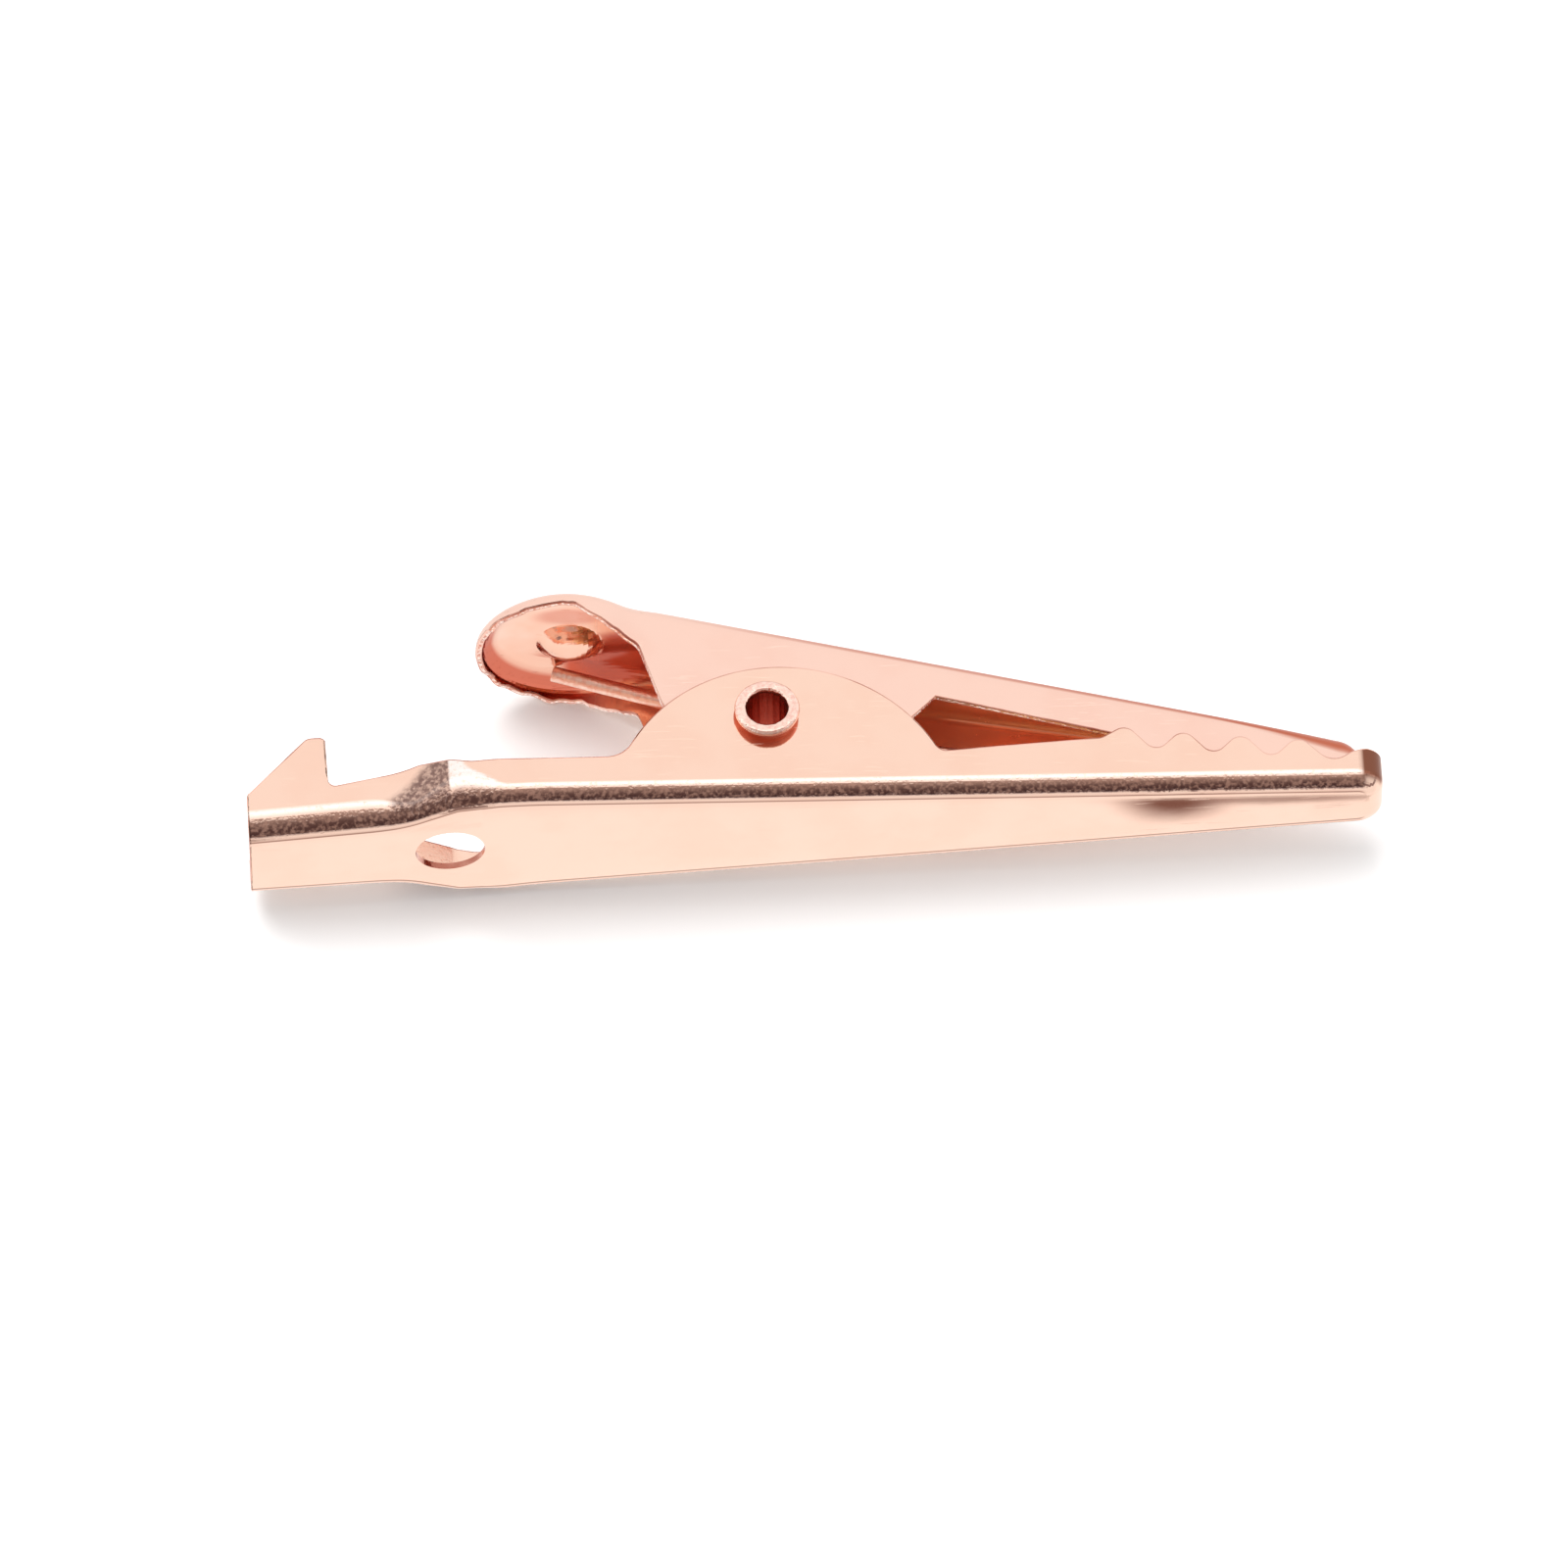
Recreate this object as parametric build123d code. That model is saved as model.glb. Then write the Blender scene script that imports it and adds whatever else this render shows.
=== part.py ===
from build123d import *
import os
from math import asin, atan2, cos, degrees, hypot, pi, radians, sin, tan

# Crocodile clip with a solder or crimp tail, 30 mm long, stamped from thin sheet.
# It lies on its side. +X runs from the tail to the jaw tips, +Y from the lower jaw to the upper
# jaw, and +Z up, across the clip and along the rivet. The pieces are drawn about the rivet's
# middle, and move at the end so that the origin is the centre of the clip's underside.
# All sizes are in millimetres. Heights of the lower jaw are above the outside of its floor.

# Sheet and fits
sheet = 0.30                # thickness of both stampings
bend = 0.45                 # outside radius of every folded edge
side_gap = 0.10             # between the upper jaw's walls and the lower jaw's walls
running_gap = 0.04          # radial play of the upper jaw's ears on the rivet
seat_gap = 0.01             # radial play of the lower jaw's ears on the rivet
rest_gap = 0.05             # between a spring leg and the face that it presses on

# Lower jaw, along the clip, measured from the rivet
tail_length = 13.85
nose_length = 16.15
pivot_height = 2.45
droop_start = 6.3           # the floor dips from here to the tail's end
droop_angle = 2.2
droop_radius = 20.0

# Lower jaw, across the clip
tail_end_width = 3.4
tail_front_width = 3.6
neck_start = 9.9
shoulder_start = 7.65
shoulder_width = 5.0
nose_width = 2.2
neck_radius = 1.0
nose_corner = 0.50

# Lower jaw, heights of the side walls
tail_wall = 0.90
barb_height = 2.54
barb_tip_back = 12.20       # the barb's tip, from here
barb_tip_front = 11.72      # to here, where its upright front edge falls
barb_foot_height = 1.00
barb_foot_radius = 0.45
barb_tip_radius = 0.14
neck_crest = 1.41
neck_crest_back = 9.3
neck_crest_front = 8.5
waist_back = 7.9
waist_height = 1.18
waist_front = 4.7
waist_front_height = 1.23
ear_radius = 4.58
ear_top = 3.91
ear_offset = 0.30           # the ear arc's centre lies this far in front of the rivet
ear_blend = 0.8
window_back = 4.30
window_back_height = 1.24
window_front = 8.75
window_front_height = 1.57
window_radius = 0.30
nose_lip = 1.12
nose_lip_back = 15.75
lip_radius = 0.15
edge_radius = 0.4           # rounding of the shallow corners along the walls' edges

# Teeth, a wave of the same pitch on both jaws, so that each crest covers a valley behind it
tooth_count = 4
tooth_pitch = 1.51
tooth_first = 9.42          # first crest, in front of the rivet
tooth_line = 1.57           # height of the wave's middle line at the first crest
tooth_fall = 0.091          # how far the middle line falls in each millimetre
tooth_flank = 0.80          # height of a flank before its ends are rounded
tooth_radius = 0.34
last_valley = 1.02          # the last valley is wide: its distance past the last crest
last_valley_radius = 0.60

# Wire hole in the tail's floor
wire_hole_radius = 0.92
wire_hole_back = 8.54

# Upper jaw, seen from the side, measured from the rivet
roof_height = 2.965
roof_angle = 13.4
lever_top = 4.03
lever_sweep = 12.0          # radius of the gentle bend from roof to lever
upper_nose_gap = 0.35       # between the two noses
upper_nose_corner = 0.70
ear_front = 4.45
ear_front_height = 0.70
ear_front_radius = 0.06
ear_depth = 1.75            # how far the hidden ear reaches below the rivet
ear_sole_front = 1.05       # its flat lower edge, from here
ear_sole_back = 0.52        # to here behind the rivet
ear_toe = 2.60
ear_toe_depth = 1.10
ear_heel = 1.58
ear_heel_depth = 1.08
ear_round = 0.8
ear_back = 2.77
ear_back_height = 0.54
ear_neck = 3.32
ear_neck_height = 2.42
upper_floor_gap = 0.10      # between the upper jaw's teeth and the lower jaw's floor
upper_tooth_drop = 1.65     # the upper wave's middle line, straight down from the roof
upper_tooth_flank = 0.60
upper_tooth_fall = 0.17
upper_chin = 0.70           # length of the closed nose's lower edge

# Thumb cup at the end of the lever
cup_radius = 2.50
cup_back = 5.10             # the cup's centre, behind the rivet
cup_edge = 3.45             # height of its free rim above the rivet
cup_neck = 5.0              # the rim reaches that height here, behind the rivet
cup_blend = 1.2
dimple_back = 5.0
dimple_radius = 0.88
dimple_depth = 0.34

# Rivet
rivet_radius = 0.70
rivet_bore = 0.52
rivet_ring = 0.87
rivet_span = 5.0            # from ring to ring
ring_round = 0.15

# Spring
wire = 0.42
coil_radius = 1.35          # to the middle of the wire
coil_turns = 4              # whole turns, to which the angle between the legs is added
coil_space = 0.03           # between neighbouring turns
upper_leg_back = 5.55
lower_leg_back = 5.50

# Worked out from the sizes above
floor_y = -pivot_height
floor_inside = floor_y + sheet
tail_dip = (tail_length - droop_start) * tan(radians(droop_angle))
roof_slope = tan(radians(roof_angle))
taper = (shoulder_width - nose_width) / 2 / (nose_length + shoulder_start)
upper_nose = nose_length - sheet - upper_nose_gap
ear_centre_y = floor_y + ear_top - ear_radius
tall = nose_length          # half the size of a cutting block, past every feature it cuts
past = 1.0                  # how far a cutting outline runs on past the sheet's ends


def half_width(x):
    """Half the outside width of the lower jaw's body at x."""
    return shoulder_width / 2 - taper * (x + shoulder_start)


def roof_y(x):
    """Height of the upper jaw's sloping roof above the rivet, at its outside."""
    return roof_height - roof_slope * x


def outline(corners):
    """A flat face from (x, y, radius) corners, each rounded by its own tangent arc."""
    edges = []
    ends = []
    for i, (x, y, radius) in enumerate(corners):
        before = Vector(*corners[i - 1][:2]) - Vector(x, y)
        after = Vector(*corners[(i + 1) % len(corners)][:2]) - Vector(x, y)
        before = before.normalized()
        after = after.normalized()
        half_turn = (pi - radians(before.get_angle(after))) / 2
        reach = radius * tan(half_turn)
        start = Vector(x, y) + before * reach
        end = Vector(x, y) + after * reach
        if radius > 0:
            inward = (before + after).normalized()
            middle = Vector(x, y) + inward * (radius / cos(half_turn) - radius)
            edges.append(ThreePointArc(start, middle, end))
        ends.append((start, end))
    for i, (start, end) in enumerate(ends):
        last_end = ends[i - 1][1]
        if (start - last_end).length > 1e-6:
            edges.append(Line(last_end, start))
    return make_face(edges)


def across(side):
    """A side view made into a solid right across the clip."""
    return extrude(side, amount=tall, both=True)


def upright(plan):
    """A plan view, drawn in X and Z, made into a tall solid."""
    return extrude(Plane.XZ * plan, amount=tall, both=True)


def mirrored(half):
    """Both sides of a plan view from the (x, z, radius) corners of its +Z side."""
    return half + [(x, -z, radius) for x, z, radius in reversed(half)]


def rim_edges(faces):
    """The edges around a run of smooth faces, without the seams between them."""
    found = []
    for face in faces:
        for edge in face.edges():
            twins = [other for other in found if other.is_same(edge)]
            if twins:
                found.remove(twins[0])
            else:
                found.append(edge)
    return found


def folded(plan, side, facing, radius, open_end=None):
    """The block with this plan and side view, its edges beside the faces that look along
    `facing` rounded like a fold. Edges behind open_end are left square."""
    block = across(side) & upright(plan)
    faces = [face for face in block.faces() if face.normal_at().dot(facing) > 0.9]
    edges = rim_edges(faces)
    if open_end is not None:
        edges = [edge for edge in edges if edge.center().X > open_end + 0.01]
    return fillet(edges, radius)


def wave(first_y, fall, flank):
    """Corners of the wavy teeth, from the first crest to the last. first_y is the height of
    the wave's middle line at the first crest."""
    corners = []
    for tooth in range(tooth_count):
        crest_x = tooth_first + tooth * tooth_pitch
        crest_y = first_y - fall * tooth * tooth_pitch + flank / 2
        corners.append((crest_x, crest_y, tooth_radius))
        if tooth < tooth_count - 1:
            valley_x = crest_x + tooth_pitch / 2
            valley_y = first_y - fall * (valley_x - tooth_first) - flank / 2
            corners.append((valley_x, valley_y, tooth_radius))
    return corners


# Lower jaw

def lower_plan(extra):
    """The lower jaw from above. extra lengthens the open tail."""
    tail_slope = (tail_front_width - tail_end_width) / 2 / (tail_length - neck_start)
    return outline(mirrored([
        (-tail_length - extra, tail_end_width / 2 - tail_slope * extra, 0),
        (-neck_start, tail_front_width / 2, neck_radius),
        (-shoulder_start, shoulder_width / 2, neck_radius),
        (nose_length, nose_width / 2, nose_corner),
    ]))


def lower_blank_side(extra):
    """The lower jaw from the side before its top edge is trimmed."""
    back = -tail_length - extra
    dip = (-droop_start - back) * tan(radians(droop_angle))
    return outline([
        (back, floor_y - dip, 0),
        (-droop_start, floor_y, droop_radius),
        (nose_length + past, floor_y, 0),
        (nose_length + past, tall, 0),
        (back, tall, 0),
    ])


def lower_side():
    """The lower jaw from the side, with the true edge of its walls."""
    base = floor_y
    teeth = wave(base + tooth_line, tooth_fall, tooth_flank)
    last_x = teeth[-1][0] + last_valley
    last_y = base + tooth_line - tooth_fall * (last_x - tooth_first) - tooth_flank / 2
    walls = outline([
        (-tail_length, base - past, 0),
        (nose_length, base - past, 0),
        (nose_length, base + nose_lip, lip_radius),
        (nose_lip_back, base + nose_lip, lip_radius),
        (last_x, last_y, last_valley_radius),
    ] + teeth[::-1] + [
        (window_front, base + window_front_height, edge_radius),
        (window_back, base + window_back_height, 0),
        (-waist_front, base + waist_front_height, edge_radius),
        (-waist_back, base + waist_height, edge_radius),
        (-neck_crest_front, base + neck_crest, edge_radius),
        (-neck_crest_back, base + neck_crest, edge_radius),
        (-barb_tip_front, base + barb_foot_height, barb_foot_radius),
        (-barb_tip_front, base + barb_height, barb_tip_radius),
        (-barb_tip_back, base + barb_height, barb_tip_radius),
        (-tail_length, base + tail_wall, lip_radius),
    ])
    ear = Pos(ear_offset, ear_centre_y) * Circle(ear_radius)
    ear &= Pos(0, tall / 2 + base) * Rectangle(2 * tall, tall)
    side = walls + ear
    front = side.vertices().sort_by_distance((window_back, base + window_back_height))[0]
    side = fillet(front, window_radius)
    back = side.vertices().sort_by_distance((-waist_front + 0.9, base + waist_height))[0]
    return fillet(back, ear_blend)


def make_lower_jaw():
    down = Vector(0, -1, 0)
    skin = folded(lower_plan(0), lower_blank_side(0), down, bend, -tail_length)
    inside = folded(
        offset(lower_plan(past), -sheet),
        offset(lower_blank_side(past), -sheet),
        down, bend - sheet, -tail_length - past + sheet)
    jaw = (skin - inside) & across(lower_side())
    jaw -= Cylinder(rivet_radius + seat_gap, 2 * tall)
    hole = Pos(-wire_hole_back, floor_y, 0) * Rot(90, 0, 0) * Cylinder(wire_hole_radius, 4 * sheet)
    return jaw - hole


# Upper jaw

def upper_plan():
    """The upper jaw from above: a tapered lever that opens into the round cup."""
    inset = sheet + side_gap
    lever = outline(mirrored([
        (-cup_back, half_width(-cup_back) - inset, 0),
        (upper_nose, half_width(upper_nose) - inset, upper_nose_corner),
    ]))
    plan = lever + Pos(-cup_back, 0) * Circle(cup_radius)
    corners = plan.vertices().filter_by(lambda vertex: -cup_back < vertex.X < 0)
    return fillet(corners, cup_blend)


def upper_blank_side():
    """The upper jaw from the side before its lower edge is trimmed."""
    lever_x = (roof_height - lever_top) / roof_slope
    back = -cup_back - cup_radius - past
    front = upper_nose + past
    return outline([
        (back, -tall, 0),
        (front, -tall, 0),
        (front, roof_y(front), 0),
        (lever_x, lever_top, lever_sweep),
        (back, lever_top, 0),
    ])


def upper_side():
    """The upper jaw from the side, with the true edge of its walls, ear and cup."""
    low = floor_inside + upper_floor_gap
    wave_y = roof_y(tooth_first) - upper_tooth_drop
    teeth = wave(wave_y, upper_tooth_fall, upper_tooth_flank)
    return outline([
        (-cup_back - cup_radius - past, cup_edge, 0),
        (-cup_neck, cup_edge, ear_round),
        (-ear_neck, ear_neck_height, edge_radius),
        (-ear_back, ear_back_height, ear_round),
        (-ear_heel, -ear_heel_depth, ear_round),
        (-ear_sole_back, -ear_depth, ear_round),
        (ear_sole_front, -ear_depth, ear_round),
        (ear_toe, -ear_toe_depth, edge_radius),
        (ear_front, ear_front_height, ear_front_radius),
    ] + teeth + [
        (upper_nose - upper_chin, low, lip_radius),
        (upper_nose + past, low, 0),
        (upper_nose + past, tall, 0),
        (-cup_back - cup_radius - past, tall, 0),
    ])


def make_upper_jaw():
    up = Vector(0, 1, 0)
    skin = folded(upper_plan(), upper_blank_side(), up, bend)
    inside = folded(
        offset(upper_plan(), -sheet),
        offset(upper_blank_side(), -sheet),
        up, bend - sheet)
    ball = (dimple_radius ** 2 + dimple_depth ** 2) / (2 * dimple_depth)
    place = Pos(-dimple_back, lever_top - sheet - dimple_depth + ball, 0)
    jaw = (skin - inside) & across(upper_side())
    jaw += place * Sphere(ball) & skin
    jaw -= place * Sphere(ball - sheet)
    return jaw - Cylinder(rivet_radius + running_gap, 2 * tall)


# Rivet

def make_rivet(lower_jaw):
    half = rivet_span / 2
    seat = half_width(0) - sheet / 2
    profile = outline([
        (rivet_bore, -half, ring_round),
        (rivet_ring, -half, ring_round),
        (rivet_ring, -seat, 0),
        (rivet_radius, -seat, 0),
        (rivet_radius, seat, 0),
        (rivet_ring, seat, 0),
        (rivet_ring, half, ring_round),
        (rivet_bore, half, ring_round),
    ])
    return revolve(Plane.XZ * profile, axis=Axis.Z) - lower_jaw


# Spring

def leg_seats():
    """The middles of the two leg ends, each just clear of the face that it presses on."""
    low = Vector(-lower_leg_back, floor_inside + rest_gap + wire / 2)
    high = Vector(-upper_leg_back, lever_top - sheet - rest_gap - wire / 2)
    return low, high


def make_spring():
    """A close-wound coil about the rivet whose two ends run straight on, both to the rear."""
    low, high = leg_seats()
    low_heading = degrees(atan2(-low.Y, -low.X) - asin(coil_radius / low.length))
    high_heading = degrees(atan2(high.Y, high.X) + asin(coil_radius / high.length))
    wrap = 360 * coil_turns + high_heading - low_heading
    rise = wire + coil_space
    length = rise * wrap / 360
    path = Pos(0, 0, -length / 2) * Rot(0, 0, high_heading - 90) * Helix(
        rise, length, coil_radius, lefthand=True)
    section = Circle(wire / 2)
    spring = sweep(Plane(path @ 0, z_dir=path % 0) * section, path=path, is_frenet=True)
    for end, heading, seat in ((path @ 0, -(path % 0), high), (path @ 1, path % 1, low)):
        flat = hypot(heading.X, heading.Y)
        reach = hypot(seat.X - end.X, seat.Y - end.Y) / flat
        spring += extrude(Plane(end, z_dir=heading) * section, amount=reach)
    return spring


lower_jaw = make_lower_jaw()
upper_jaw = make_upper_jaw()
parts = {
    "lower_jaw": lower_jaw,
    "upper_jaw": upper_jaw,
    "pivot_rivet": make_rivet(lower_jaw),
    "torsion_spring": make_spring(),
}
# The origin goes to the middle of the underside of the clip as it lies on its side.
underside = Pos(
    (tail_length - nose_length) / 2,
    -(lever_top + floor_y - tail_dip) / 2,
    rivet_span / 2)
os.makedirs("parts", exist_ok=True)
for name, solid in parts.items():
    export_step(underside * solid, f"parts/{name}.step")
    print(name, len(solid.solids()), "solid,", round(solid.volume, 3), "mm3")
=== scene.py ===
# %% [markdown]
# # A small copper-plated crocodile clip
# The clip is 30 mm long. Two stampings of thin sheet are folded into channels, and swing on a
# hollow rivet that a wound wire spring sits around. The imported model gives the exact sizes and
# the way it moves, so the first step loads it.

# %% Load the frame
from math import acos, asin, atan, atan2, ceil, cos, degrees, hypot, pi, radians, sin, sqrt, tan

import bmesh
import bpy
from mathutils import Matrix, Vector, noise


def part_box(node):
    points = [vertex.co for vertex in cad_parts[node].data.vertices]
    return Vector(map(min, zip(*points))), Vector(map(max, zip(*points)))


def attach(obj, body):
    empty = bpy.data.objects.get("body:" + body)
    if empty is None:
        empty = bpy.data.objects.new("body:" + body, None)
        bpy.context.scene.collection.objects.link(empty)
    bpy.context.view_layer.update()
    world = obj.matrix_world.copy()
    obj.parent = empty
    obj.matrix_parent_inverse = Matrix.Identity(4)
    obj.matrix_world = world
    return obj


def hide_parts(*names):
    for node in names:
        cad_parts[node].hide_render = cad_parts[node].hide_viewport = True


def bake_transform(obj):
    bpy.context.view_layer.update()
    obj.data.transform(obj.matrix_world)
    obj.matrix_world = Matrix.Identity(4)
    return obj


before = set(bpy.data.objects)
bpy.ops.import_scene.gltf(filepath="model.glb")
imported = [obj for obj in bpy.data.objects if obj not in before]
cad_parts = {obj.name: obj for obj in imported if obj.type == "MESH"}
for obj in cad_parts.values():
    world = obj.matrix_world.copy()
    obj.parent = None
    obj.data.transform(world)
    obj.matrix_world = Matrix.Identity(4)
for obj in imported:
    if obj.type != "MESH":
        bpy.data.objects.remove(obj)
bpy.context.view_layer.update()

MM = 0.001

# %% [markdown]
# The clip lies on its side and is seen from the lower jaw's side, 59 degrees above the table,
# through a long lens. Such a lens stands far off, so near and far sides look almost equally
# large, as in a catalogue picture. The camera's place is worked out from the point it aims at.

# %% Camera
AIM = Vector((-0.79, -1.60, 2.5)) * MM
CAMERA_TURN = radians(-3.1)
CAMERA_RISE = radians(59)
LENS = 500
SENSOR = 36
SEEN_WIDTH = 41.45 * MM


def add_camera():
    """A long-lens camera whose square picture is SEEN_WIDTH wide at the clip."""
    data = bpy.data.cameras.new("catalogue_camera")
    data.sensor_width = SENSOR
    data.sensor_fit = "HORIZONTAL"
    data.lens = LENS
    data.clip_start = 10 * MM
    data.clip_end = 10
    back = Vector((
        sin(CAMERA_TURN) * cos(CAMERA_RISE),
        -cos(CAMERA_TURN) * cos(CAMERA_RISE),
        sin(CAMERA_RISE)))
    camera = bpy.data.objects.new("catalogue_camera", data)
    camera.location = AIM + back * SEEN_WIDTH * LENS / SENSOR
    camera.rotation_euler = back.to_track_quat("Z", "Y").to_euler()
    bpy.context.scene.collection.objects.link(camera)
    bpy.context.scene.camera = camera
    return camera


camera = add_camera()
print("camera stands", round(camera.location.length / MM), "mm away")

# %% [markdown]
# Bright plating has hardly a colour of its own: it shows the room. So the room comes before the
# metal. Node trees are built by a small helper that adds a node, sets what it is told, and
# joins its inputs to numbers or to other nodes.

# %% Node helper
class Tree:
    """Adds nodes to one node tree. An input may be a number, a colour or another socket."""

    def __init__(self, tree):
        self.tree = tree
        tree.nodes.clear()

    def add(self, kind, inputs=None, **settings):
        made = self.tree.nodes.new(kind)
        for name, value in settings.items():
            setattr(made, name, value)
        for name, value in (inputs or {}).items():
            if isinstance(value, bpy.types.NodeSocket):
                self.tree.links.new(value, made.inputs[name])
            else:
                made.inputs[name].default_value = value
        return made

    def math(self, operation, *values, clamp=False):
        inputs = dict(enumerate(values))
        return self.add("ShaderNodeMath", inputs, operation=operation, use_clamp=clamp).outputs[0]

    def fade(self, value, start, end):
        """0 where value is at start, 1 where it is at end, with a smooth step between."""
        inputs = {"Value": value, "From Min": start, "From Max": end}
        made = self.add("ShaderNodeMapRange", inputs, interpolation_type="SMOOTHSTEP")
        return made.outputs["Result"]

    def ramp(self, value, stops):
        """A colour or grey picked along a row of (place, colour) stops."""
        made = self.add("ShaderNodeValToRGB", {"Fac": value})
        elements = made.color_ramp.elements
        while len(elements) < len(stops):
            elements.new(1)
        for element, (place, colour) in zip(elements, stops):
            element.position = place
            grey = isinstance(colour, (int, float))
            element.color = (colour, colour, colour, 1) if grey else (*colour, 1)
        return made.outputs["Color"]


# %% [markdown]
# The clip stands in even soft white light. Its mirrored rays alone see a room of their own, which
# was fitted to the photo: darker on the side that the camera looks from, so that the folded edge
# turns dark, and brighter than white in a band overhead. The room's brightness is picked by a
# direction's angle: 0 is level with the table on the camera's side, 90 is straight up, and 180 is
# level behind the clip.

# %% Studio
def build_world():
    world = bpy.data.worlds.new("studio")
    bpy.context.scene.world = world
    world.use_nodes = True
    t = Tree(world.node_tree)
    direction = t.add("ShaderNodeTexCoord").outputs["Generated"]
    x, y, z = t.add("ShaderNodeSeparateXYZ", {"Vector": direction}).outputs
    angle = t.math("ARCTAN2", z, t.math("MULTIPLY", y, -1))
    over = t.math("DIVIDE", angle, pi)
    band = t.ramp(over, [
        (0.00, (0.50, 0.40, 0.37)), (0.25, (0.52, 0.42, 0.39)), (0.44, (0.56, 0.46, 0.43)),
        (0.475, (0.66, 0.57, 0.54)), (0.500, (1.36, 1.36, 1.36)), (0.625, (1.36, 1.36, 1.36)),
        (0.66, (1.03, 1.03, 1.03)), (1.00, (1.0, 1.0, 1.0))])
    sides = t.fade(t.math("ABSOLUTE", x), 0.80, 0.50)
    front = t.math("MULTIPLY", t.fade(y, 0.05, -0.15), sides)
    inside = t.math("MAXIMUM", front, t.fade(y, -0.2, 0.0))
    room = t.add("ShaderNodeMix", {"Factor": inside, "A": (0.85, 0.85, 0.85, 1), "B": band},
                 data_type="RGBA").outputs[2]
    path = t.add("ShaderNodeLightPath")
    mirrored = t.math("MAXIMUM", path.outputs["Is Glossy Ray"], path.outputs["Is Transmission Ray"])
    glow = t.add("ShaderNodeBackground", {"Color": room, "Strength": 1.0}).outputs[0]
    soft = t.add("ShaderNodeBackground", {"Color": (1, 1, 1, 1), "Strength": 0.85}).outputs[0]
    white = t.add("ShaderNodeBackground", {"Color": (1, 1, 1, 1), "Strength": 1.0}).outputs[0]
    first = t.add("ShaderNodeMixShader", {0: mirrored, 1: soft, 2: glow}).outputs[0]
    last = t.add("ShaderNodeMixShader", {0: path.outputs["Is Camera Ray"], 1: first, 2: white})
    t.add("ShaderNodeOutputWorld", {"Surface": last.outputs[0]})


build_world()
bpy.context.scene.view_settings.view_transform = "Standard"

# %% [markdown]
# The table is plain white paper that keeps the clip's shadow. The photo has a shady streak near
# the nose, on the polished floor that mirrors the table. What made it there isn't known. Here it
# is staged: to mirrored rays alone the paper glows, with a dark edge and two soft dark spots put
# where they draw that streak. Under any other light the streak isn't there.

# %% Table
TABLE_SIZE = 2.0


def build_table():
    bpy.ops.object.select_all(action="DESELECT")
    bpy.ops.mesh.primitive_plane_add(size=TABLE_SIZE)
    table = bpy.context.object
    table.name = "table"
    material = bpy.data.materials.new("white_table")
    material.use_nodes = True
    t = Tree(material.node_tree)
    coords = t.add("ShaderNodeTexCoord").outputs["Object"]
    split = t.add("ShaderNodeSeparateXYZ", {"Vector": coords})
    x, y = split.outputs["X"], split.outputs["Y"]
    place = t.add("ShaderNodeMapRange", {
        "Value": y, "From Min": -15 * MM, "From Max": 15 * MM}).outputs["Result"]
    sheet = t.ramp(place, [
        (0.00, (0.30, 0.24, 0.24)), (0.072, (0.30, 0.24, 0.24)), (0.12, (1.0, 1.0, 1.0)),
        (0.28, (1.0, 1.0, 1.0)), (0.32, (1.12, 1.12, 1.12)), (0.50, (1.16, 1.16, 1.16)),
        (0.60, (1.0, 1.0, 1.0))])
    for heart_x, heart_y, length, width, strength in (
            (9.6, -5.00, 1.5, 0.62, 1.0), (12.2, -5.25, 4.5, 0.42, 0.70)):
        along = t.math("DIVIDE", t.math("SUBTRACT", x, heart_x * MM), length * MM)
        across = t.math("DIVIDE", t.math("SUBTRACT", y, heart_y * MM), width * MM)
        away = t.math("SQRT", t.math("ADD", t.math("MULTIPLY", along, along),
                                     t.math("MULTIPLY", across, across)))
        share = t.math("MULTIPLY", t.fade(away, 1.3, 0.2), strength)
        sheet = t.add("ShaderNodeMix", {
            "Factor": share, "A": sheet, "B": (0.22, 0.12, 0.10, 1)}, data_type="RGBA").outputs[2]
    paper = t.add("ShaderNodeBsdfDiffuse", {"Color": (0.97, 0.97, 0.97, 1)}).outputs[0]
    glow = t.add("ShaderNodeEmission", {"Color": sheet, "Strength": 1.0}).outputs[0]
    path = t.add("ShaderNodeLightPath")
    mirrored = t.math("MAXIMUM", path.outputs["Is Glossy Ray"], path.outputs["Is Transmission Ray"])
    mixed = t.add("ShaderNodeMixShader", {0: mirrored, 1: paper, 2: glow}).outputs[0]
    t.add("ShaderNodeOutputMaterial", {"Surface": mixed})
    table.data.materials.append(material)


build_table()


# %% [markdown]
# One soft box over the clip gives the faint shadow. It isn't seen in the metal itself, because
# the room already holds everything that the metal should mirror.

# %% Lamp
def add_lamp(name, place, aim, size, power):
    data = bpy.data.lights.new(name, "AREA")
    data.size = size
    data.energy = power
    lamp = bpy.data.objects.new(name, data)
    lamp.location = place
    lamp.rotation_euler = (Vector(place) - Vector(aim)).to_track_quat("Z", "Y").to_euler()
    lamp.visible_camera = False
    lamp.visible_glossy = False
    bpy.context.scene.collection.objects.link(lamp)


add_lamp("soft_box", (-0.05, 0.10, 0.30), AIM, 0.25, 0.9)

# %% [markdown]
# All sizes below are in millimetres about the rivet's middle, as a drawing would give them: x
# runs along the clip, y from the lower jaw to the upper one, and z across. A finished piece is
# moved to the rivet's place in the frame and scaled to metres, with its place in its mesh.

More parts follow.
